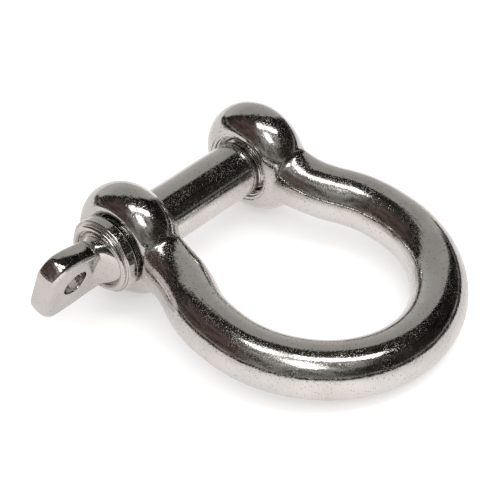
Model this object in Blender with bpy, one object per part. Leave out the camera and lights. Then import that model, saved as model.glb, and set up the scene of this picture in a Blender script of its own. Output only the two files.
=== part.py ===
"""Screw-pin bow shackle lying flat, built in metres with +Z up.

The pin's axis runs along X with the head at +X, and the bow's crown points towards +Y. The
object rests on Z = 0 on both eyes and on the crown, and the origin is at the middle of its
bounding box's base. Each piece is modelled about the pin's axis and then laid down.
"""

import math

import bpy
from mathutils import Vector

# Bow: round bar bent in one plane, with an eye at each end
BAR_RADIUS = 0.00585
EYE_X = 0.0188  # eye centre from the bow's middle plane
EYE_RIM_RADIUS = 0.0063  # rounding of the eye's rim
EYE_RIM_CENTRE = 0.0058  # pin's axis to the middle of that rounding
EYE_INNER_FACE = 0.0060  # eye centre to its face in the jaw
EYE_OUTER_FACE = 0.0052  # eye centre to its outer spot-face
INNER_FACE_RADIUS = 0.0085  # reach of the cutter that faces the eye inside the jaw
OUTER_FACE_RADIUS = 0.0094
LEG_HANDLE = 0.0238  # pull of the leg straight out of the eye
SIDE_X = 0.0252  # centreline at the bow's widest
SIDE_Y = 0.0331
SIDE_HANDLE_BACK = 0.0157
SIDE_HANDLE_FRONT = 0.0133
CROWN_HANDLE = 0.0140
CROWN_Y = 0.0584
NECK_FLARE = 0.0022  # extra half-height of the bar where it runs into the eye
NECK_START = 0.0088
NECK_LENGTH = 0.0062

# Pin: tab, collar, plain shank and thread on one axis
BORE_RADIUS = 0.0065  # clear hole in the eye beside the head
SHANK_RADIUS = 0.0060
THREAD_PITCH = 0.00175
THREAD_CREST = 0.00585
THREAD_ROOT = 0.00495
THREAD_FLAT = 0.00036  # width of the crest and of the root
THREAD_GAP = 0.0002  # radial clearance in the far eye's thread
THREAD_START = -0.0136
THREAD_MOUTH = 0.0017  # countersink in front of the far eye's thread
BORE_CHAMFER = 0.0005
PIN_END = -0.0250
TIP_CHAMFER = 0.0009
SEAM_GAP = 0.0003  # between the pin's own sub-parts
SHANK_HEAD_END = 0.0185
COLLAR_BACK = 0.0248
COLLAR_EDGE = 0.0272
COLLAR_FRONT = 0.0279
COLLAR_RADIUS = 0.0082
COLLAR_FRONT_RADIUS = 0.0074
FLARE_RADIUS = 0.0064  # smooth swelling from the tab to the collar
FLARE_LENGTH = 0.0050
TAB_LEAN = math.radians(19.0)  # the tab's top leans towards the crown
TAB_OFFSET = -0.0005  # tab's middle plane from the pin's axis
TAB_HALF_THICKNESS = 0.0024
TAB_HALF_WIDTH = 0.0079
TAB_WAIST = 0.0071  # half-width where the tab leaves the collar
TAB_WAIST_LENGTH = 0.0055
TAB_CORNER_RADIUS = 0.0044  # the two corners of the tab's free end
TAB_EDGE_RADIUS = 0.0013
TAB_END = 0.04345
TAB_HOLE_X = 0.03585
TAB_HOLE_RADIUS = 0.0029

PATH_START = 0.0040  # the bar begins inside the eye
BAR_STEPS = 30
PATH_STEPS = 19
TURN_STEPS = 44
THREAD_STEPS = 26

# Where the pieces sit
EYE_RADIUS = EYE_RIM_CENTRE + EYE_RIM_RADIUS
LIE_ANGLE = math.asin((EYE_RADIUS - BAR_RADIUS) / CROWN_Y)
MIDDLE_X = (TAB_END - SIDE_X - BAR_RADIUS) / 2
MIDDLE_Y = (CROWN_Y * math.cos(LIE_ANGLE) + BAR_RADIUS - EYE_RADIUS) / 2
PIN_AXIS = Vector((-MIDDLE_X, -MIDDLE_Y, EYE_RADIUS))


def clear_scene():
    for obj in list(bpy.data.objects):
        bpy.data.objects.remove(obj, do_unlink=True)


def polished_steel(name, shade, roughness):
    steel = bpy.data.materials.new(name)
    steel.use_nodes = True
    shader = steel.node_tree.nodes["Principled BSDF"]
    shader.inputs["Base Color"].default_value = (shade, shade, shade * 0.98, 1.0)
    shader.inputs["Metallic"].default_value = 1.0
    shader.inputs["Roughness"].default_value = roughness
    return steel


def solid(name, points, faces):
    mesh = bpy.data.meshes.new(name)
    mesh.from_pydata([tuple(p) for p in points], [], faces)
    obj = bpy.data.objects.new(name, mesh)
    bpy.context.scene.collection.objects.link(obj)
    return obj


def loft(name, rings):
    """A closed solid through rings of equal count, each counter-clockwise seen from its end."""
    count = len(rings[0])
    points = [p for ring in rings for p in ring]
    faces = [tuple(reversed(range(count)))]
    for row in range(len(rings) - 1):
        for i in range(count):
            a = row * count + i
            b = row * count + (i + 1) % count
            faces.append((a, b, b + count, a + count))
    last = (len(rings) - 1) * count
    faces.append(tuple(range(last, last + count)))
    return solid(name, points, faces)


def turned(name, profile, steps=TURN_STEPS, phase=0.5):
    """A solid of revolution about X through (x, radius) points with x rising."""
    rings = []
    for x, radius in profile:
        angles = [2 * math.pi * (i + phase) / steps for i in range(steps)]
        rings.append([Vector((x, radius * math.cos(a), radius * math.sin(a))) for a in angles])
    return loft(name, rings)


def arc(centre_x, centre_r, radius, start, end, steps):
    """(x, radius) points on an arc, with angles in degrees from the +X direction."""
    angles = [math.radians(start + (end - start) * i / steps) for i in range(steps + 1)]
    return [(centre_x + radius * math.cos(a), centre_r + radius * math.sin(a)) for a in angles]


def bezier(p0, p1, p2, p3, t):
    s = 1 - t
    return p0 * s**3 + p1 * 3 * s * s * t + p2 * 3 * s * t * t + p3 * t**3


def bow_path():
    """Centreline from the eye at +X round the crown to the eye at -X."""
    eye = Vector((EYE_X, 0, 0))
    side = Vector((SIDE_X, SIDE_Y, 0))
    crown = Vector((0, CROWN_Y, 0))
    leg_pull = eye + Vector((0, LEG_HANDLE, 0))
    back_pull = side - Vector((0, SIDE_HANDLE_BACK, 0))
    front_pull = side + Vector((0, SIDE_HANDLE_FRONT, 0))
    crown_pull = crown + Vector((CROWN_HANDLE, 0, 0))
    leg = (eye, leg_pull, back_pull, side)
    front = (side, front_pull, crown_pull, crown)
    half = [bezier(*leg, i / PATH_STEPS) for i in range(PATH_STEPS)]
    half += [bezier(*front, i / PATH_STEPS) for i in range(PATH_STEPS + 1)]
    half = [p for p in half if p.y > PATH_START]
    return half + [Vector((-p.x, p.y, 0)) for p in reversed(half[:-1])]


def neck_swelling(y):
    reach = min(max((y - NECK_START) / NECK_LENGTH, 0.0), 1.0)
    return NECK_FLARE * (1 - reach) ** 2


def bent_bar():
    path = bow_path()
    rings = []
    for i, point in enumerate(path):
        ahead = path[min(i + 1, len(path) - 1)] - path[max(i - 1, 0)]
        across = Vector((-ahead.y, ahead.x, 0)).normalized()
        height = BAR_RADIUS + neck_swelling(point.y)
        ring = []
        for k in range(BAR_STEPS):
            angle = 2 * math.pi * k / BAR_STEPS
            rise = Vector((0, 0, height * math.sin(angle)))
            ring.append(point + across * BAR_RADIUS * math.cos(angle) + rise)
        rings.append(ring)
    return loft("bow", rings)


def eye(name, centre_x):
    return turned(name, arc(centre_x, EYE_RIM_CENTRE, EYE_RIM_RADIUS, 180, 0, 12))


def thread(name, start, end, growth=0.0):
    """A right-handed screw along X that covers start to end, with some turns to spare."""
    flank = (THREAD_PITCH - 2 * THREAD_FLAT) / 2
    root = THREAD_ROOT + growth
    crest = THREAD_CREST + growth
    rise = THREAD_FLAT + flank
    section = ((0, root), (THREAD_FLAT, root), (rise, crest), (rise + THREAD_FLAT, crest))
    first = math.floor((start - PIN_END) / THREAD_PITCH) - 2
    last = math.ceil((end - PIN_END) / THREAD_PITCH) + 1
    turns = range(first, last)
    rows = [(PIN_END + THREAD_PITCH * turn + x, r) for turn in turns for x, r in section]
    lead = len(section)
    width = len(rows)
    points = []
    for step in range(THREAD_STEPS):
        angle = 2 * math.pi * step / THREAD_STEPS
        shift = THREAD_PITCH * step / THREAD_STEPS
        points += [Vector((x + shift, r * math.cos(angle), r * math.sin(angle))) for x, r in rows]
    final = (THREAD_STEPS - 1) * width
    faces = []
    for step in range(THREAD_STEPS - 1):
        for row in range(width - 1):
            a = step * width + row
            faces.append((a, a + width, a + width + 1, a + 1))
    for row in range(width - 1 - lead):
        faces.append((final + row, row + lead, row + lead + 1, final + row + 1))
    near = [step * width for step in range(THREAD_STEPS)] + list(range(lead, 0, -1))
    far = [step * width + width - 1 for step in range(THREAD_STEPS)]
    far += [final + width - 2 - k for k in range(lead)]
    points.append(Vector((rows[0][0] - THREAD_PITCH, 0, 0)))
    points.append(Vector((rows[-1][0] + 2 * THREAD_PITCH, 0, 0)))
    faces += [(len(points) - 2, near[(i + 1) % len(near)], near[i]) for i in range(len(near))]
    faces += [(len(points) - 1, far[i], far[(i + 1) % len(far)]) for i in range(len(far))]
    return solid(name, points, faces)


def tab_half_width(x):
    reach = min(max((TAB_HOLE_X - x) / TAB_WAIST_LENGTH, 0.0), 1.0)
    return TAB_HALF_WIDTH - (TAB_HALF_WIDTH - TAB_WAIST) * reach * reach * (3 - 2 * reach)


def tab_outline(y, inset):
    """The tab's edge at a height y through its thickness: waist, side, rounded corner and back."""
    base = COLLAR_FRONT - 0.0018
    corner_x = TAB_END - TAB_CORNER_RADIUS
    corner_z = TAB_HALF_WIDTH - TAB_CORNER_RADIUS
    side = [base + (corner_x - base) * i / 12 for i in range(12)]
    upper = [Vector((x, y, tab_half_width(x) - inset)) for x in side]
    radius = TAB_CORNER_RADIUS - inset
    turns = [math.pi / 2 * i / 12 for i in range(13)]
    corner = [(corner_x + radius * math.sin(a), corner_z + radius * math.cos(a)) for a in turns]
    upper += [Vector((x, y, z)) for x, z in corner]
    return upper + [Vector((p.x, y, -p.z)) for p in reversed(upper)]


def tab_plate():
    flat = TAB_HALF_THICKNESS - TAB_EDGE_RADIUS
    edge = arc(-flat, TAB_EDGE_RADIUS, TAB_EDGE_RADIUS, 180, 270, 5)
    rows = edge + [(-y, inset) for y, inset in reversed(edge)]
    return loft("tab", [tab_outline(TAB_OFFSET + y, inset) for y, inset in rows])


def tab_flare():
    """Blends the collar's round front into the flat tab."""
    rings = []
    for i in range(13):
        reach = i / 12
        x = COLLAR_FRONT - 0.0005 + (FLARE_LENGTH + 0.0005) * reach
        thin = TAB_HALF_THICKNESS - 0.0001
        deep = thin + (FLARE_RADIUS - thin) * (1 - reach) ** 2.2
        wide = FLARE_RADIUS + (TAB_WAIST - 0.0004 - FLARE_RADIUS) * reach
        power = 1 - 0.45 * reach
        middle = TAB_OFFSET * min(1.0, 2 * reach)
        ring = []
        for k in range(TURN_STEPS):
            angle = 2 * math.pi * (k + 0.5) / TURN_STEPS
            c = math.copysign(abs(math.cos(angle)) ** power, math.cos(angle))
            s = math.copysign(abs(math.sin(angle)) ** power, math.sin(angle))
            ring.append(Vector((x, middle + deep * c, wide * s)))
        rings.append(ring)
    return loft("flare", rings)


def combine(target, tool, operation):
    """Adds, cuts or keeps what is shared, and leaves one plain mesh in the target."""
    step = target.modifiers.new(operation.lower(), "BOOLEAN")
    step.operation = operation
    step.solver = "EXACT"
    step.object = tool
    graph = bpy.context.evaluated_depsgraph_get()
    result = bpy.data.meshes.new_from_object(target.evaluated_get(graph))
    target.modifiers.clear()
    target.data = result
    bpy.data.objects.remove(tool, do_unlink=True)


def finish(obj, name, steel, lean=0.0):
    """Names and shades a finished piece, and lays it down about the pin's axis."""
    obj.name = name
    obj.data.name = name
    obj.data.materials.clear()
    obj.data.materials.append(steel)
    for face in obj.data.polygons:
        face.use_smooth = True
    obj.data.set_sharp_from_angle(angle=math.radians(32))
    obj.location = PIN_AXIS
    obj.rotation_euler = (-lean, 0, 0)


def hole(start, end, radius, chamfer):
    """A cutter for a hole from start to end whose mouths open at 45 degrees."""
    beyond = 0.001
    mouth = radius + chamfer + beyond
    first = ((start - beyond, mouth), (start + chamfer, radius))
    second = ((end - chamfer, radius), (end + beyond, mouth))
    return turned("hole", first + second)


def make_bow(steel):
    bow = bent_bar()
    for centre_x in (EYE_X, -EYE_X):
        combine(bow, eye("eye", centre_x), "UNION")
    for side in (1, -1):
        outer = (EYE_X + EYE_OUTER_FACE, EYE_X + EYE_OUTER_FACE + 0.003, OUTER_FACE_RADIUS)
        inner = (EYE_X - EYE_INNER_FACE - 0.003, EYE_X - EYE_INNER_FACE, INNER_FACE_RADIUS)
        for start, end, radius in (outer, inner):
            low, high = sorted((side * start, side * end))
            combine(bow, turned("spot_face", ((low, radius), (high, radius))), "DIFFERENCE")
    near = (EYE_X - EYE_INNER_FACE, EYE_X + EYE_OUTER_FACE)
    combine(bow, hole(*near, BORE_RADIUS, BORE_CHAMFER), "DIFFERENCE")
    far = (-EYE_X - EYE_OUTER_FACE, -EYE_X + EYE_INNER_FACE)
    combine(bow, thread("tap", far[0] - 0.001, far[1] + 0.001, THREAD_GAP), "DIFFERENCE")
    combine(bow, hole(*far, THREAD_ROOT + THREAD_GAP, THREAD_MOUTH), "DIFFERENCE")
    finish(bow, "bow", steel, LIE_ANGLE)


def make_pin(steel):
    shank = turned(
        "shank",
        (
            (THREAD_START + SEAM_GAP, SHANK_RADIUS - 0.0003),
            (THREAD_START + SEAM_GAP + 0.0003, SHANK_RADIUS),
            (SHANK_HEAD_END, SHANK_RADIUS),
        ),
    )
    finish(shank, "pin_shank", steel)

    screw = thread("screw", PIN_END, THREAD_START)
    envelope = (
        (PIN_END, THREAD_CREST - TIP_CHAMFER),
        (PIN_END + TIP_CHAMFER + 0.0002, THREAD_CREST + 0.0002),
        (THREAD_START - 0.0008, THREAD_CREST + 0.0002),
        (THREAD_START, THREAD_ROOT + 0.0003),
    )
    combine(screw, turned("envelope", envelope), "INTERSECT")
    finish(screw, "pin_thread", steel)

    bevel = COLLAR_RADIUS - COLLAR_FRONT_RADIUS
    collar = [
        (SHANK_HEAD_END + SEAM_GAP, SHANK_RADIUS),
        (COLLAR_BACK, SHANK_RADIUS),
        (COLLAR_BACK, COLLAR_RADIUS - 0.0003),
        (COLLAR_BACK + 0.0003, COLLAR_RADIUS),
    ]
    collar += arc(COLLAR_EDGE, COLLAR_FRONT_RADIUS, bevel, 90, 10, 6)
    collar.append((COLLAR_FRONT + 0.0001, COLLAR_FRONT_RADIUS - 0.0004))
    collar.append((COLLAR_FRONT, FLARE_RADIUS + 0.0002))
    head = turned("collar", collar)
    combine(head, tab_plate(), "UNION")
    combine(head, tab_flare(), "UNION")
    drill = turned("drill", ((-0.006, TAB_HOLE_RADIUS), (0.006, TAB_HOLE_RADIUS)), 32)
    drill.rotation_euler = (0, 0, math.pi / 2)
    drill.location = (TAB_HOLE_X, 0, 0)
    bpy.context.view_layer.update()
    combine(head, drill, "DIFFERENCE")
    finish(head, "pin_head", steel, TAB_LEAN)


clear_scene()
make_bow(polished_steel("bow_steel", 0.62, 0.08))
make_pin(polished_steel("pin_steel", 0.64, 0.08))
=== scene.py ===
"""Polished screw-pin bow shackle on a pale floor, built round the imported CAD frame.

Lengths in the shape functions are millimetres about the pin's axis: X runs along the pin to its
head, Y towards the bow's crown and Z up. Each shape is a signed distance, negative inside, which is
meshed finely and placed on the CAD's own axis.
"""

import math

import bmesh
import bpy
import numpy as np
from mathutils import Matrix, Vector


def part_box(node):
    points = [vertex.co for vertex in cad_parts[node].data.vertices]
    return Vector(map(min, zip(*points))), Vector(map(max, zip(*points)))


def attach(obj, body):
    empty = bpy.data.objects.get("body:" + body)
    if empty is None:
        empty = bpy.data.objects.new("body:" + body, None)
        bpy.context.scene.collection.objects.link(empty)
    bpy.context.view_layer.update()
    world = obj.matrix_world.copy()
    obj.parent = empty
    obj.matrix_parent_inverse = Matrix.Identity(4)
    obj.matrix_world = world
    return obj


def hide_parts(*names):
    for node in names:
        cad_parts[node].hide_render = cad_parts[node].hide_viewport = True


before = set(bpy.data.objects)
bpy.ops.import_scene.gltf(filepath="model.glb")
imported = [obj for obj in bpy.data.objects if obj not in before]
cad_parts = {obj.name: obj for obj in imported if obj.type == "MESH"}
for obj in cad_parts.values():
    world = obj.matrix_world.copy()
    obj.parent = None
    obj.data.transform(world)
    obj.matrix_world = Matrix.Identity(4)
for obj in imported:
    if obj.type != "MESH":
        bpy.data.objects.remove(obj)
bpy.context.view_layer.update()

MM = 0.001
SLANT = 0.7071  # a 45 degree slope's share of the distance along an axis

# ---------------------------------------------------------------- bow, in millimetres
BAR_R = 5.85
EYE_X = 18.8
EYE_RIM = 6.3
EYE_RING = 5.8
EYE_R = EYE_RING + EYE_RIM
INNER_FACE = 6.0
OUTER_FACE = 5.2
INNER_REACH = 8.5
OUTER_REACH = 9.4
COUNTERBORE_R = 7.7
COUNTERBORE_DEPTH = 0.35
RECESS_R = 7.0
RECESS_DEPTH = 1.0
BORE_R = 6.5
BORE_CHAMFER = 0.6
TAP_R = 6.45
TAP_MOUTH = 6.85
CROWN_Y = 58.4
SIDE = (25.2, 33.1)
LEG = ((EYE_X, 0.0), (EYE_X, 23.8), (25.2, 17.4), SIDE)
FRONT = (SIDE, (25.2, 46.4), (14.0, CROWN_Y), (0.0, CROWN_Y))
LIE = math.asin((EYE_R - BAR_R) / CROWN_Y)
NECK_FLARE = 1.2
NECK_START = 8.8
NECK_LENGTH = 6.2
NECK_FILLET = 0.7
FACE_EDGE = 0.5
FACE_CORNER = 0.3
STEP_EDGE = 0.2
BOW_STEP = 0.25
BOW_LOW = (-32.5, -13.5, -13.5)
BOW_HIGH = (32.5, 65.5, 13.5)

# ---------------------------------------------------------------- screw pin, in millimetres
SHANK_R = 6.0
SHANK_START = -13.3
SHANK_TIP_R = 5.4
SHANK_TIP = 0.35
SHANK_SUNK = 0.2
SHANK_SIDES = 160
SHANK_RINGS = 24
SHANK_RINGS_START = -12.0
THREAD_START = -13.6
THREAD_RUNOUT = 0.3
PIN_END = -25.0
TIP_CHAMFER = 0.9
DIMPLE_R = 4.0
DIMPLE_DEPTH = 0.4
PITCH = 1.75
CREST_R = 5.85
ROOT_R = 4.95
FLANK = 2.55  # steepness of the thread's sides, in ridge heights per pitch
FLANK_LEAN = 0.75  # a flank's share of the radial distance to it
THREAD_GAP = 0.2
SLEEVE_R = 6.75
SLEEVE_SUNK = 0.3
LINING_STEP = 0.15
SCREW_STEP = 0.13
COLLAR_BACK = 24.8
COLLAR_EDGE = 27.2
COLLAR_R = 8.2
COLLAR_TAPER = 0.05
COLLAR_ROUND = 0.4
BEAD_X = 27.4
BEAD_RING = 6.75
BEAD_R = 0.6
BEAD_THICK = 0.25
GROOVE_R = 0.3
GROOVE_OUT = 0.2
GROOVE_FORWARD = 0.05
NECK_R = 6.0
ROOT_START = 27.3
ROOT_LENGTH = 4.4
ROOT_FALL = 1.5
ROOT_SQUARENESS = 1.2
TAB_LEAN = math.radians(19.0)
TAB_OFFSET = -0.5
TAB_HALF = 2.4
TAB_TOP = (7.9, 6.35, 39.0, 9.0)  # full half-width, waist, where the waist begins and its length
TAB_FOOT = (8.55, 8.2, 36.0, 6.0)
TAB_SHOULDER_START = 32.0
TAB_SHOULDER_LENGTH = 1.7
TAB_SHOULDER = 1.5
TAB_CORNER_CUT = 2.7
TAB_CORNER_ROUND = 1.3
TAB_END = 43.45
TAB_EDGE = 0.8
TAB_CROWN = 0.45
TAB_FILLET = 1.2
TAB_HOLE_X = 35.85
TAB_HOLE_R = 2.9
TAB_HOLE_EDGE = 0.6
TAB_START = COLLAR_BACK + 0.6
ROOT_BACK = COLLAR_BACK + 0.1
BEAD_BLEND = 0.35
SOFT_EDGE = 0.2
FINE_EDGE = 0.15
SHARP_EDGE = 0.1
HEAD_STEP = 0.16
HEAD_LOW = (24.2, -9.0, -9.0)
HEAD_HIGH = (44.4, 9.0, 9.0)

low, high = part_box("bow")
shank_low, shank_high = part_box("pin_shank")
AXIS = Vector(
    (
        (low[0] + high[0]) / 2,
        (shank_low[1] + shank_high[1]) / 2,
        (shank_low[2] + shank_high[2]) / 2,
    )
)


# ---------------------------------------------------------------- distance fields
def smooth_min(a, b, k):
    """The shape made of both a and b, blended over k where they meet."""
    h = np.maximum(k - np.abs(a - b), 0.0) / k
    return np.minimum(a, b) - h * h * h * (k / 6.0)


def smooth_max(a, b, k):
    """The shape common to a and b, with its edge blended over k."""
    return -smooth_min(-a, -b, k)


def rounded(a, b, radius):
    """The shape common to a and b, with its edge rounded to a radius."""
    a, b = a + radius, b + radius
    return np.hypot(np.maximum(a, 0), np.maximum(b, 0)) + np.minimum(np.maximum(a, b), 0) - radius


def eased(share):
    share = np.clip(share, 0.0, 1.0)
    return share * share * (3 - 2 * share)


def curve_point(points, t):
    """A cubic curve's point at t from 0 to 1."""
    p = [np.array(q) for q in points]
    s = 1.0 - t
    return (
        p[0] * (s * s * s)[..., None]
        + p[1] * (3 * s * s * t)[..., None]
        + p[2] * (3 * s * t * t)[..., None]
        + p[3] * (t * t * t)[..., None]
    )


def curve_slope(points, t):
    p = [np.array(q) for q in points]
    s = 1.0 - t
    return (
        (p[1] - p[0]) * (3 * s * s)[..., None]
        + (p[2] - p[1]) * (6 * s * t)[..., None]
        + (p[3] - p[2]) * (3 * t * t)[..., None]
    )


def path_at(t):
    """Centreline point and slope at t from 0, the eye, through 1, the side, to 2, the crown."""
    a = np.clip(t, 0.0, 1.0)
    b = np.clip(t - 1.0, 0.0, 1.0)
    first = (t <= 1.0)[..., None]
    where = np.where(first, curve_point(LEG, a), curve_point(FRONT, b))
    slope = np.where(first, curve_slope(LEG, a), curve_slope(FRONT, b))
    return where, slope


TABLE_STEP = 0.5
TABLE_X = np.arange(0.0, 34.0, TABLE_STEP)
TABLE_Y = np.arange(-15.0, 67.0, TABLE_STEP)


def make_table():
    """The nearest t on the centreline for each point of a coarse grid."""
    t = np.linspace(0.0, 2.0, 321)
    where, _ = path_at(t)
    gx, gy = np.meshgrid(TABLE_X, TABLE_Y, indexing="ij")
    d = (gx[..., None] - where[:, 0]) ** 2 + (gy[..., None] - where[:, 1]) ** 2
    return t[d.argmin(-1)]


TABLE = make_table()


def path_distance(x, y):
    """Distance in the bow's plane from the centreline, which is the same on both sides."""
    x = np.abs(x)
    i = np.clip(np.rint(x / TABLE_STEP).astype(int), 0, len(TABLE_X) - 1)
    j = np.clip(np.rint((y - TABLE_Y[0]) / TABLE_STEP).astype(int), 0, len(TABLE_Y) - 1)
    t = TABLE[i, j]
    for _ in range(3):
        where, slope = path_at(t)
        dx = x - where[..., 0]
        dy = y - where[..., 1]
        along = dx * slope[..., 0] + dy * slope[..., 1]
        t = np.clip(t + along / (slope[..., 0] ** 2 + slope[..., 1] ** 2), 0.0, 2.0)
    where, _ = path_at(t)
    return np.hypot(x - where[..., 0], y - where[..., 1])


def bow_field(x, y, z, planar=None):
    """The bent bar and its two eyes, each faced on both sides, stepped round its hole and bored."""
    if planar is None:
        planar = path_distance(x, y)
    near_eye = 1.0 - np.clip((y - NECK_START) / NECK_LENGTH, 0.0, 1.0)
    lowered = z * (BAR_R / (BAR_R + NECK_FLARE * near_eye**2))
    bar = np.sqrt(planar * planar + lowered * lowered) - BAR_R
    rho = np.sqrt(y * y + z * z)
    out = np.abs(x) - EYE_X
    ring = np.sqrt(np.maximum(rho - EYE_RING, 0.0) ** 2 + out * out) - EYE_RIM
    body = smooth_min(bar, ring, NECK_FILLET)
    outer_cut = smooth_max(rho - OUTER_REACH, OUTER_FACE - out, FACE_CORNER)
    inner_cut = smooth_max(rho - INNER_REACH, INNER_FACE + out, FACE_CORNER)
    body = smooth_max(body, -outer_cut, FACE_EDGE)
    body = smooth_max(body, -inner_cut, FACE_EDGE)
    counterbore = np.maximum(rho - COUNTERBORE_R, INNER_FACE - COUNTERBORE_DEPTH + out)
    recess_depth = INNER_FACE - RECESS_DEPTH + out
    recess = np.maximum(rho - RECESS_R, recess_depth)
    body = smooth_max(smooth_max(body, -counterbore, STEP_EDGE), -recess, STEP_EDGE)
    depth = np.minimum(OUTER_FACE - out, INNER_FACE + out)
    plain = smooth_min(rho - BORE_R, (rho + depth - BORE_R - BORE_CHAMFER) * SLANT, FACE_CORNER)
    inner_mouth = np.maximum((rho + recess_depth - TAP_MOUTH) * SLANT, rho - RECESS_R)
    outer_mouth = (rho + OUTER_FACE - out - TAP_MOUTH) * SLANT
    tapped = np.minimum(np.minimum(rho - TAP_R, inner_mouth), outer_mouth)
    hole = np.where(x > 0, plain, tapped)
    return smooth_max(body, -hole, FACE_CORNER)


def collar_field(x, rho):
    middle = (COLLAR_BACK + COLLAR_EDGE) / 2
    thick = np.abs(x - middle) - (COLLAR_EDGE - COLLAR_BACK) / 2
    return rounded(rho - COLLAR_R + COLLAR_TAPER * (x - COLLAR_BACK), thick, COLLAR_ROUND)


def tab_side(x, full, waist, start, length):
    """From the pin's axis to one side of the tab, eased from full at start in to its waist."""
    return full + (waist - full) * eased((start - x) / length)


def tab_field(x, y, z):
    """The flat tab: two slanted corners, a waist near the collar and a shoulder over the neck."""
    shoulder = np.clip((TAB_SHOULDER_START - x) / TAB_SHOULDER_LENGTH, 0.0, 1.0) ** 2
    top = tab_side(x, *TAB_TOP) - TAB_SHOULDER * shoulder
    half_width = np.where(z > 0, top, tab_side(x, *TAB_FOOT))
    side, end = np.abs(z) - half_width, x - TAB_END
    corner = (side + end + TAB_CORNER_CUT) * SLANT
    outline = smooth_max(smooth_max(side, corner, TAB_CORNER_ROUND), end, TAB_CORNER_ROUND)
    outline = np.maximum(outline, TAB_START - x)
    off = (y - TAB_OFFSET) / TAB_HALF
    thick = np.abs(y - TAB_OFFSET) - TAB_HALF
    return rounded(outline + TAB_CROWN * off * off, thick, TAB_EDGE)


def root_field(x, y, z):
    """The neck in front of the collar, which flattens from a round section into the tab."""
    reach = np.clip((x - ROOT_START) / ROOT_LENGTH, 0.0, 1.0)
    deep = TAB_HALF + (NECK_R - TAB_HALF) * (1 - reach) ** 1.5 - ROOT_FALL * reach**3
    wide = NECK_R - ROOT_FALL * reach**6
    power = 2.0 + ROOT_SQUARENESS * reach
    off = y - TAB_OFFSET * np.minimum(1.0, 2 * reach)
    ratio = (np.abs(off / deep) ** power + np.abs(z / wide) ** power) ** (1 / power)
    root = (ratio - 1.0) * np.minimum(deep, wide)
    ends = np.maximum(x - ROOT_START - ROOT_LENGTH, ROOT_BACK - x)
    return np.maximum(root, ends)


def head_field(x, y, z):
    """The pin's head: a tapered collar, a rounded ring and a groove on it, and the drilled tab."""
    rho = np.sqrt(y * y + z * z)
    bead = np.hypot(rho - BEAD_RING, np.maximum(np.abs(x - BEAD_X) - BEAD_THICK, 0.0)) - BEAD_R
    groove_out = rho - BEAD_RING - BEAD_R - GROOVE_OUT
    groove = np.hypot(groove_out, x - COLLAR_EDGE - GROOVE_FORWARD) - GROOVE_R
    body = smooth_min(root_field(x, y, z), tab_field(x, y, z), TAB_FILLET)
    body = smooth_min(body, bead, BEAD_BLEND)
    body = smooth_min(body, collar_field(x, rho), SOFT_EDGE)
    body = smooth_max(body, -groove, FINE_EDGE)
    body = smooth_max(body, COLLAR_BACK - x, SOFT_EDGE)
    bore = np.hypot(x - TAB_HOLE_X, z) - TAB_HOLE_R
    return smooth_max(body, -bore, TAB_HOLE_EDGE)


def thread_radius(x, y, z, root, crest):
    """Radius of a right-handed thread of about 60 degrees with its flats rounded off."""
    turn = np.arctan2(z, y) / (2 * np.pi)
    phase = np.mod((x - PIN_END) / PITCH - turn, 1.0)
    ridge = np.clip(0.5 + (0.25 - np.abs(phase - 0.5)) * FLANK, 0.0, 1.0)
    return root + (crest - root) * ridge * ridge * (3 - 2 * ridge)


def screw_field(x, y, z):
    """The threaded end, chamfered at its tip and at its runout, with a dimple in its end face."""
    rho = np.sqrt(y * y + z * z)
    body = (rho - thread_radius(x, y, z, ROOT_R, CREST_R)) * FLANK_LEAN
    tip = (rho - x + PIN_END - (CREST_R - TIP_CHAMFER)) * SLANT
    runout = (rho + x - THREAD_START - (ROOT_R + THREAD_RUNOUT)) * SLANT
    body = smooth_max(smooth_max(body, tip, FINE_EDGE), runout, FINE_EDGE)
    dimple = np.hypot(rho, x - PIN_END + DIMPLE_R - DIMPLE_DEPTH) - DIMPLE_R
    body = smooth_max(body, -dimple, SOFT_EDGE)
    body = smooth_max(body, PIN_END - x, SOFT_EDGE)
    return smooth_max(body, x - THREAD_START, SHARP_EDGE)


def sleeve_field(x, y, z):
    """The tapped lining of the far eye, sunk a little below the eye's faces."""
    rho = np.sqrt(y * y + z * z)
    groove = thread_radius(x, y, z, ROOT_R + THREAD_GAP, CREST_R + THREAD_GAP)
    bore = (rho - groove) * FLANK_LEAN
    out = -x - EYE_X
    depth = np.minimum(OUTER_FACE - out, INNER_FACE - RECESS_DEPTH + out)
    bore = smooth_min(bore, (rho + depth - TAP_MOUTH + 0.02) * SLANT, SHARP_EDGE)
    return np.maximum(np.maximum(rho - SLEEVE_R, SLEEVE_SUNK - depth), -bore)


# ---------------------------------------------------------------- meshing
CORNERS = np.array([(i, j, k) for i in (0, 1) for j in (0, 1) for k in (0, 1)])
EDGES = [
    (a, b)
    for a in range(8)
    for b in range(a + 1, 8)
    if np.abs(CORNERS[a] - CORNERS[b]).sum() == 1
]
TINY = 1e-9
LEAST_SLOPE = 0.05
LONGEST_MOVE = 0.2


def net_points(values, cells, origin, step):
    """One point in each cell, at the mean of where the surface crosses the cell's edges."""
    at = [values[tuple((cells + c).T)] for c in CORNERS]
    total = np.zeros((len(cells), 3))
    hits = np.zeros(len(cells))
    for a, b in EDGES:
        crosses = (at[a] < 0) != (at[b] < 0)
        share = np.where(crosses, at[a] / np.where(crosses, at[a] - at[b], 1.0), 0.0)
        crossing = CORNERS[a] + share[:, None] * (CORNERS[b] - CORNERS[a])
        total += np.where(crosses[:, None], crossing, 0.0)
        hits += crosses
    return origin + step * (cells + total / hits[:, None])


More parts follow.
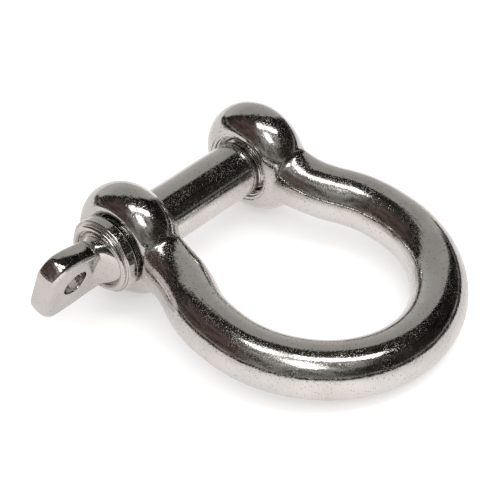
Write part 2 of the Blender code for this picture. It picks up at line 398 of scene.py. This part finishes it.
def surface_net(values, origin, step):
    """Vertices and outward quads where a grid of distances changes sign."""
    inside = values < 0
    shape = np.array(values.shape) - 1
    count = np.zeros(tuple(shape), np.int8)
    for c in CORNERS:
        count += inside[c[0] : c[0] + shape[0], c[1] : c[1] + shape[1], c[2] : c[2] + shape[2]]
    cells = np.argwhere((count > 0) & (count < 8))
    number = np.full(tuple(shape), -1, np.int64)
    number[tuple(cells.T)] = np.arange(len(cells))
    points = net_points(values, cells, origin, step)
    quads = []
    for axis in range(3):
        first = [slice(1, -1)] * 3
        second = [slice(1, -1)] * 3
        first[axis] = slice(0, -1)
        second[axis] = slice(1, None)
        a, b = inside[tuple(first)], inside[tuple(second)]
        u, v = (axis + 1) % 3, (axis + 2) % 3
        for leaves in (True, False):
            found = np.argwhere((a != b) & (a == leaves))
            shift = np.ones(3, int)
            shift[axis] = 0
            base = found + shift
            corner = []
            for du, dv in ((-1, -1), (0, -1), (0, 0), (-1, 0)):
                c = base.copy()
                c[:, u] += du
                c[:, v] += dv
                corner.append(number[tuple(c.T)])
            quad = np.stack(corner, 1)
            quads.append(quad if leaves else quad[:, ::-1])
    return points, np.concatenate(quads)


def gradient(field, p, reach=0.01):
    parts = []
    for axis in range(3):
        step = np.zeros(3)
        step[axis] = reach
        parts.append(field(*(p + step).T) - field(*(p - step).T))
    return np.stack(parts, 1) / (2 * reach)


def settle(field, points, rounds=3):
    """Moves points onto the surface and returns them with the surface's own normals."""
    for _ in range(rounds):
        slope = gradient(field, points)
        size = np.maximum((slope**2).sum(1), LEAST_SLOPE)
        move = (field(*points.T) / size)[:, None] * slope
        length = np.maximum(np.linalg.norm(move, axis=1, keepdims=True), TINY)
        points = points - move * np.minimum(1.0, LONGEST_MOVE / length)
    slope = gradient(field, points)
    return points, slope / np.maximum(np.linalg.norm(slope, axis=1, keepdims=True), TINY)


def placed(turn):
    """From millimetres about the pin's axis to the frame's metres, turned about that axis."""
    return Matrix.Translation(AXIS) @ Matrix.Rotation(turn, 4, "X") @ Matrix.Scale(MM, 4)


def mesh_piece(name, points, faces, matrix, normals=None):
    """A smooth-shaded object from points and faces that all have the same number of corners."""
    m = np.array(matrix)
    points = points @ m[:3, :3].T + m[:3, 3]
    mesh = bpy.data.meshes.new(name)
    mesh.vertices.add(len(points))
    mesh.vertices.foreach_set("co", points.astype(np.float32).ravel())
    mesh.loops.add(faces.size)
    mesh.loops.foreach_set("vertex_index", faces.astype(np.int32).ravel())
    mesh.polygons.add(len(faces))
    starts = np.arange(0, faces.size, faces.shape[1], dtype=np.int32)
    mesh.polygons.foreach_set("loop_start", starts)
    mesh.update(calc_edges=True)
    mesh.polygons.foreach_set("use_smooth", np.ones(len(faces), bool))
    if normals is not None:
        turn = m[:3, :3] / np.linalg.norm(m[:3, 0])
        mesh.normals_split_custom_set_from_vertices((normals @ turn.T).tolist())
    mesh.validate()
    obj = bpy.data.objects.new(name, mesh)
    bpy.context.scene.collection.objects.link(obj)
    return obj


def bow_mesh(step):
    """The bow's net, with the slow distance from its centreline worked out once for each column."""
    axes = [np.arange(BOW_LOW[i], BOW_HIGH[i], step) for i in range(3)]
    planar = path_distance(*np.meshgrid(axes[0], axes[1], indexing="ij"))
    x = axes[0][:, None, None]
    y = axes[1][None, :, None]
    z = axes[2][None, None, :]
    values = bow_field(x, y, z, planar[..., None]).astype(np.float32)
    return surface_net(values, np.array(BOW_LOW), step)


def field_mesh(field, low, high, step):
    """The net of a field inside a box."""
    low = np.array(low)
    axes = [np.arange(low[i], high[i], step) for i in range(3)]
    grid = np.meshgrid(*axes, indexing="ij", sparse=True)
    return surface_net(field(*grid).astype(np.float32), low, step)


def rings_mesh(rows, steps):
    """Quads through rings of (x, radius) about X."""
    angle = 2 * np.pi * np.arange(steps) / steps
    cos, sin = np.cos(angle), np.sin(angle)
    points = [np.stack([np.full(steps, x), r * cos, r * sin], 1) for x, r in rows]
    faces = []
    for row in range(len(rows) - 1):
        a = row * steps + np.arange(steps)
        b = row * steps + (np.arange(steps) + 1) % steps
        faces.append(np.stack([a, b, b + steps, a + steps], 1))
    return np.concatenate(points), np.concatenate(faces)


def close_ends(obj):
    """Merges each end's ring of zero radius into one point."""
    mesh = bmesh.new()
    mesh.from_mesh(obj.data)
    bmesh.ops.remove_doubles(mesh, verts=mesh.verts, dist=1e-7)
    mesh.to_mesh(obj.data)
    mesh.free()


# ---------------------------------------------------------------- node helpers
def add_node(tree, kind, **inputs):
    """Adds a shader node and fills its inputs, each from a socket or a plain value."""
    node = tree.nodes.new(kind)
    for name, value in inputs.items():
        fill(tree, node.inputs[name.replace("_", " ")], value)
    return node


def fill(tree, socket, value):
    """Links a socket into another, or sets a plain value on it."""
    if isinstance(value, bpy.types.NodeSocket):
        tree.links.new(value, socket)
    else:
        socket.default_value = value


def calc(tree, operation, *values):
    node = tree.nodes.new("ShaderNodeMath")
    node.operation = operation
    for socket, value in zip(node.inputs, values):
        fill(tree, socket, value)
    return node.outputs["Value"]


def vector_calc(tree, operation, *values):
    node = tree.nodes.new("ShaderNodeVectorMath")
    node.operation = operation
    for socket, value in zip(node.inputs, values):
        fill(tree, socket, value)
    return node


def dot(tree, vector, axis):
    return vector_calc(tree, "DOT_PRODUCT", vector, tuple(axis)).outputs["Value"]


def ramp(tree, value, start, end, low=0.0, high=1.0):
    """Eases from low to high as value goes from start to end."""
    node = tree.nodes.new("ShaderNodeMapRange")
    node.interpolation_type = "SMOOTHSTEP"
    numbers = {"From Min": start, "From Max": end, "To Min": low, "To Max": high}
    for name, number in numbers.items():
        node.inputs[name].default_value = number
    fill(tree, node.inputs["Value"], value)
    return node.outputs["Result"]


def blend(tree, share, first, second):
    """A colour that goes from first to second as share goes from 0 to 1."""
    node = tree.nodes.new("ShaderNodeMix")
    node.data_type = "RGBA"
    node.clamp_factor = False
    fill(tree, node.inputs["Factor"], share)
    colours = [socket for socket in node.inputs if socket.type == "RGBA"]
    fill(tree, colours[0], first)
    fill(tree, colours[1], second)
    return [socket for socket in node.outputs if socket.type == "RGBA"][0]


def scaled(tree, colour, share):
    return blend(tree, share, (0, 0, 0, 1), colour)


# ---------------------------------------------------------------- steel, sizes in millimetres
CLOUD_SIZE = 6.0
STAIN = 0.93
PIT_SPACING = 0.42
PIT_DEPTH = 0.014
PIT_SHADE = 0.45
PIT_WALL = (0.12, 0.42)
PITTED = 0.12  # share of the cells that hold a pit
PEENED_SIZE = 0.26
PEENED_ROUGHNESS = 0.36
RIPPLE_SIZE = 1.3
RIPPLE = 0.014
GRAIN_SIZE = 0.34
GRAIN = 0.013
STAINED = (0.35, 0.7)  # each pair is the span of noise over which its effect sets in
PATCHY = (0.30, 0.62)
PEENED = (0.56, 0.62)


def steel(name, tint, roughness):
    """Tumble-polished stainless steel: a mirror with a fine grain, small pits and dull patches."""
    mat = bpy.data.materials.new(name)
    mat.use_nodes = True
    tree = mat.node_tree
    shader = tree.nodes["Principled BSDF"]
    shader.inputs["Metallic"].default_value = 1.0
    place = tree.nodes.new("ShaderNodeTexCoord").outputs["Object"]

    def noise(size, detail):
        node = add_node(
            tree, "ShaderNodeTexNoise", Vector=place, Scale=1.0 / (size * MM), Detail=detail
        )
        return node.outputs["Fac"]

    def shade(share):
        return (*(c * share for c in tint), 1.0)

    cloud = noise(CLOUD_SIZE, 4.0)
    cells = add_node(tree, "ShaderNodeTexVoronoi", Vector=place, Scale=1.0 / (PIT_SPACING * MM))
    pit = ramp(tree, cells.outputs["Distance"], *PIT_WALL)
    chance = add_node(tree, "ShaderNodeSeparateColor", Color=cells.outputs["Color"]).outputs[0]
    pit = calc(tree, "MAXIMUM", pit, ramp(tree, chance, PITTED, PITTED + 0.05))
    colour = blend(tree, ramp(tree, cloud, *STAINED), shade(1.0), shade(STAIN))
    # the pits are drawn darker: painted shade in them, on top of their bumped depth
    colour = blend(tree, pit, shade(PIT_SHADE), colour)
    fill(tree, shader.inputs["Base Color"], colour)
    patchy = ramp(tree, cloud, *PATCHY, 0.25, 1.0)
    peened = calc(tree, "MULTIPLY", ramp(tree, noise(PEENED_SIZE, 1.0), *PEENED), patchy)
    rough = calc(tree, "MULTIPLY_ADD", peened, PEENED_ROUGHNESS, roughness)
    fill(tree, shader.inputs["Roughness"], rough)

    height = calc(tree, "MULTIPLY", noise(RIPPLE_SIZE, 1.0), RIPPLE * MM)
    height = calc(tree, "MULTIPLY_ADD", noise(GRAIN_SIZE, 2.0), GRAIN * MM, height)
    height = calc(tree, "MULTIPLY_ADD", pit, PIT_DEPTH * MM, height)
    bump = add_node(tree, "ShaderNodeBump", Height=height, Distance=1.0, Strength=1.0)
    fill(tree, shader.inputs["Normal"], bump.outputs["Normal"])
    return mat


bow_steel = steel("bow_polished_steel", (0.70, 0.68, 0.66), 0.045)
pin_steel = steel("pin_polished_steel", (0.71, 0.685, 0.665), 0.04)


# ---------------------------------------------------------------- pieces
def shaped(name, field, net, turn):
    """A piece from a field and its net, with each point settled on the field's surface."""
    points, normals = settle(field, net[0])
    return mesh_piece(name, points, net[1], placed(turn), normals)


def dress(obj, body, node, mat):
    obj.data.materials.append(mat)
    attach(obj, body)
    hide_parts(node)


bow = shaped("bow_forging", bow_field, bow_mesh(BOW_STEP), -LIE)
dress(bow, "bow_body", "bow", bow_steel)

around = SLEEVE_R + 0.6
sleeve_from = (-EYE_X - OUTER_FACE - 0.3, -around, -around)
sleeve_to = (0.3 - EYE_X + INNER_FACE, around, around)
sleeve_net = field_mesh(sleeve_field, sleeve_from, sleeve_to, LINING_STEP)
sleeve = shaped("bow_tapped_lining", sleeve_field, sleeve_net, 0.0)
dress(sleeve, "bow_body", "bow", bow_steel)

head_net = field_mesh(head_field, HEAD_LOW, HEAD_HIGH, HEAD_STEP)
head = shaped("pin_head_forging", head_field, head_net, -TAB_LEAN)
dress(head, "turning_screw", "pin_head", pin_steel)

shank_end = COLLAR_BACK + SHANK_SUNK
profile = [(SHANK_START, 0.0), (SHANK_START, SHANK_TIP_R), (SHANK_START + SHANK_TIP, SHANK_R)]
profile += [(x, SHANK_R) for x in np.linspace(SHANK_RINGS_START, shank_end, SHANK_RINGS)]
profile += [(shank_end, 0.0)]
points, quads = rings_mesh(profile, SHANK_SIDES)
shank = mesh_piece("pin_plain_shank", points, quads, placed(0.0))
close_ends(shank)
dress(shank, "sliding_shank", "pin_shank", pin_steel)

screw_from = (PIN_END - 0.3, -6.5, -6.5)
screw_to = (THREAD_START + 0.3, 6.5, 6.5)
screw_net = field_mesh(screw_field, screw_from, screw_to, SCREW_STEP)
screw = shaped("pin_screw_thread", screw_field, screw_net, 0.0)
dress(screw, "turning_screw", "pin_thread", pin_steel)

# ---------------------------------------------------------------- floor
FLOOR_SIZE = 6.0
FLOOR_DROP = 0.0002
ACROSS = (-0.678, 0.735, 0)  # the way over the floor in which its reflection changes
# spans across the floor over which its reflection is painted brighter and then darker again: a
# painted falloff of light
PAINTED_BRIGHTENING = (-0.065, 0.01)
PAINTED_DIMMING = (0.02, 0.075)
PAPER_BASE = (0.93, 0.93, 0.93, 1)
# painted glow of the paper as the camera sees it: painted light that lifts its shadows
PAPER_PAINTED_GLOW = (0.25, 0.25, 0.25, 1)
# floor colour and glow that the steel reflects, for the sides and for the middle: painted reflection,
# darker than the paper seen straight
REFLECTION_PAINTED_BASE = ((0.36, 0.345, 0.34, 1), (0.47, 0.45, 0.445, 1))
REFLECTION_PAINTED_GLOW = ((0.40, 0.385, 0.38, 1), (0.54, 0.52, 0.515, 1))


def make_floor():
    """Pale paper whose painted glow lifts its shadows; the steel reflects it with painted shade, a
    little darker at both sides than in the middle.
    """
    bpy.ops.mesh.primitive_plane_add(size=FLOOR_SIZE, location=(0, 0, -FLOOR_DROP))
    floor = bpy.context.object
    floor.name = "floor"
    paper = bpy.data.materials.new("paper")
    paper.use_nodes = True
    tree = paper.node_tree
    shader = tree.nodes["Principled BSDF"]
    mirrored = tree.nodes.new("ShaderNodeLightPath").outputs["Is Glossy Ray"]
    across = dot(tree, tree.nodes.new("ShaderNodeTexCoord").outputs["Object"], ACROSS)
    painted_falloff = calc(tree, "MULTIPLY", ramp(tree, across, *PAINTED_BRIGHTENING), ramp(tree, across, *PAINTED_DIMMING, 1.0, 0.0))
    base = blend(tree, mirrored, PAPER_BASE, blend(tree, painted_falloff, *REFLECTION_PAINTED_BASE))
    painted_glow = blend(tree, mirrored, PAPER_PAINTED_GLOW, blend(tree, painted_falloff, *REFLECTION_PAINTED_GLOW))
    fill(tree, shader.inputs["Base Color"], base)
    # the emission is painted light, not a lamp: it lifts the paper's shadows and sets how bright its
    # reflection looks
    fill(tree, shader.inputs["Emission Color"], painted_glow)
    shader.inputs["Emission Strength"].default_value = 1.0
    shader.inputs["Roughness"].default_value = 0.9
    shader.inputs["Specular IOR Level"].default_value = 0.1
    floor.data.materials.append(paper)


# ---------------------------------------------------------------- studio, angles in degrees
# A direction is (azimuth from +X towards +Y, height), and a colour is linear light.
ROOM = (0.024, 0.021, 0.018)
LOW_ROOM = (0.17, 0.155, 0.145)
ROOM_ZONES = (  # direction, inner and outer angle, colour
    ((20, 15), 20, 62, (0.15, 0.14, 0.13)),
    ((330, 35), 15, 40, (0.07, 0.05, 0.045)),
    ((48, 62), 8, 38, (0.30, 0.30, 0.275)),
    ((168, 28), 20, 36, (0.010, 0.008, 0.007)),
)
HORIZON_BANDS = (  # lowest and highest angle, colour
    (9.0, 13.5, (0.26, 0.245, 0.235)),
    (2.5, 8.5, (0.02, 0.016, 0.014)),
)
CLUTTER = (0.5, 1.7)  # darkest and brightest patch of the room, as shares
CLUTTER_SCALE = 7.0
GENTLE_SHAKE = (0.10, 9.0)  # how far a direction is moved, and the scale of its noise
JAGGED_SHAKE = (0.40, 7.0)
# The pale sweep: direction, inner and outer angle, colour at its foot and its top.
SWEEP = ((-127.6, 21.2), 39.3, 40.5, (0.52, 0.505, 0.485), (0.37, 0.36, 0.345))
SWEEP_SHADE = (40.6, 50.0, 0.30)  # the dimmer room just round the sweep
SWEEP_LINE = (42.4, 0.5, (0.30, 0.27, 0.25))  # a thin broken line beyond its edge
PLAIN = 1.25  # what the camera and the floor see instead of the room
WINDOWS = (  # direction, turn, half length, half width, softness, brightness
    ((108.9, 73.3), -40, 0.25, 0.085, 0.05, 6.0),
    ((-8.0, 77.3), -40, 0.11, 0.11, 0.05, 4.0),
    ((44.5, 56.0), 60, 0.17, 0.10, 0.08, 5.0),
)


def sine(degrees):
    return math.sin(math.radians(degrees))


def cosine(degrees):
    return math.cos(math.radians(degrees))


def heading(azimuth, elevation):
    level = cosine(elevation)
    return Vector((level * cosine(azimuth), level * sine(azimuth), sine(elevation)))


def zone(tree, way, centre, inner, outer):
    """A round zone of the room that fades out between two angles from its centre."""
    return ramp(tree, dot(tree, way, centre), cosine(outer), cosine(inner))


def window(tree, way, centre, turn, half_long, half_wide, soft):
    """A rectangular opening overhead, turned from +X, with its half sizes as slopes."""
    long_way = heading(turn, 0)
    first = (long_way - centre * long_way.dot(centre)).normalized()
    second = centre.cross(first)
    facing = dot(tree, way, centre)
    depth = calc(tree, "MAXIMUM", facing, 0.05)
    mask = ramp(tree, facing, 0.06, 0.12)
    for axis, half in ((first, half_long), (second, half_wide)):
        off = calc(tree, "ABSOLUTE", calc(tree, "DIVIDE", dot(tree, way, axis), depth))
        mask = calc(tree, "MULTIPLY", mask, ramp(tree, off, half - soft, half + soft, 1.0, 0.0))
    return mask


def shaken(tree, way, size, scale):
    """Moves a direction a little at random, so that no edge in the room is ruler-straight."""
    noise = add_node(tree, "ShaderNodeTexNoise", Vector=way, Scale=scale, Detail=5.0)
    shift = noise.outputs["Color"]
    steps = (("SUBTRACT", (0.5, 0.5, 0.5)), ("MULTIPLY", (size, size, size)), ("ADD", way))
    for operation, second in steps:
        shift = vector_calc(tree, operation, shift, second).outputs["Vector"]
    return vector_calc(tree, "NORMALIZE", shift).outputs["Vector"]


def make_room(tree, way, height, patches):
    """The dim room: lighter near the floor, with round zones, two bands and patches of clutter."""
    room = blend(tree, ramp(tree, height, 0.0, 0.16, 0.6, 0.0), (*ROOM, 1), (*LOW_ROOM, 1))
    for centre, inner, outer, colour in ROOM_ZONES:
        room = blend(tree, zone(tree, way, heading(*centre), inner, outer), room, (*colour, 1))
    for lowest, highest, colour in HORIZON_BANDS:
        lowest, highest = sine(lowest), sine(highest)
        soft = (highest - lowest) / 3
        above = ramp(tree, height, lowest, lowest + soft)
        below = ramp(tree, height, highest - soft, highest, 1.0, 0.0)
        room = blend(tree, calc(tree, "MULTIPLY", above, below), room, (*colour, 1))
    darkest, brightest = CLUTTER
    return blend(tree, patches, scaled(tree, room, darkest), scaled(tree, room, brightest))


def add_sweep(tree, room, jagged, height, patches):
    """The pale sweep, the shade round it and the broken line beyond its edge."""
    centre, inner, outer, foot, top = SWEEP
    middle = heading(*centre)
    near, far, dimmed = SWEEP_SHADE
    room = blend(tree, zone(tree, jagged, middle, near, far), room, scaled(tree, room, dimmed))
    line_at, line_half, line_colour = SWEEP_LINE
    beyond = zone(tree, jagged, middle, line_at - line_half, line_at)
    before = zone(tree, jagged, middle, line_at, line_at + line_half)
    line = calc(tree, "MULTIPLY", calc(tree, "SUBTRACT", before, beyond), patches)
    room = blend(tree, line, room, (*line_colour, 1))
    sweep = blend(tree, ramp(tree, height, 0.1, 0.75), (*foot, 1), (*top, 1))
    return blend(tree, zone(tree, jagged, middle, inner, outer), room, sweep)


def make_studio():
    """A pale studio: a paper sweep behind the shackle, windows overhead and a dim room round them."""
    world = bpy.data.worlds.new("studio")
    world.use_nodes = True
    tree = world.node_tree
    tree.nodes.clear()
    straight = tree.nodes.new("ShaderNodeTexCoord").outputs["Generated"]
    way = shaken(tree, straight, *GENTLE_SHAKE)
    jagged = shaken(tree, straight, *JAGGED_SHAKE)
    height = dot(tree, way, (0, 0, 1))
    clutter = add_node(
        tree, "ShaderNodeTexNoise", Vector=straight, Scale=CLUTTER_SCALE, Detail=8.0
    )
    patches = ramp(tree, clutter.outputs["Fac"], 0.35, 0.65)
    room = make_room(tree, way, height, patches)
    room = add_sweep(tree, room, jagged, height, patches)
    for centre, turn, half_long, half_wide, soft, power in WINDOWS:
        mask = window(tree, way, heading(*centre), turn, half_long, half_wide, soft)
        room = blend(tree, mask, room, (power, power * 0.99, power * 0.97, 1))
    path = tree.nodes.new("ShaderNodeLightPath").outputs
    plain = calc(tree, "MAXIMUM", path["Is Camera Ray"], path["Is Diffuse Ray"])
    seen = blend(tree, plain, room, (PLAIN, PLAIN, PLAIN, 1))
    background = add_node(tree, "ShaderNodeBackground", Color=seen, Strength=1.0)
    out = tree.nodes.new("ShaderNodeOutputWorld")
    tree.links.new(background.outputs["Background"], out.inputs["Surface"])
    bpy.context.scene.world = world


# ---------------------------------------------------------------- camera, in millimetres
VIEW_AZIMUTH = 132.695
VIEW_ELEVATION = 39.512
VIEW_FAR = 419.59
VIEW_RIGHT = 11.309
VIEW_DOWN = 11.36
SENSOR = 36.0
LENS = 145.6704


def make_camera():
    """A camera that looks down at the shackle from the side of its crown and the pin's head."""
    level = cosine(VIEW_ELEVATION)
    back = Vector(
        (sine(VIEW_AZIMUTH) * level, -cosine(VIEW_AZIMUTH) * level, sine(VIEW_ELEVATION))
    )
    right = Vector((0, 0, 1)).cross(back).normalized()
    up = back.cross(right)
    eye = AXIS + MM * (VIEW_FAR * back + VIEW_RIGHT * right - VIEW_DOWN * up)
    data = bpy.data.cameras.new("camera")
    data.sensor_width = SENSOR
    data.lens = LENS
    data.clip_start = 0.01
    camera = bpy.data.objects.new("camera", data)
    turn = Matrix((right, up, back)).transposed().to_4x4()
    camera.matrix_world = Matrix.Translation(eye) @ turn
    bpy.context.scene.collection.objects.link(camera)
    bpy.context.scene.camera = camera


make_floor()
make_studio()
make_camera()
bpy.context.scene.view_settings.view_transform = "Standard"
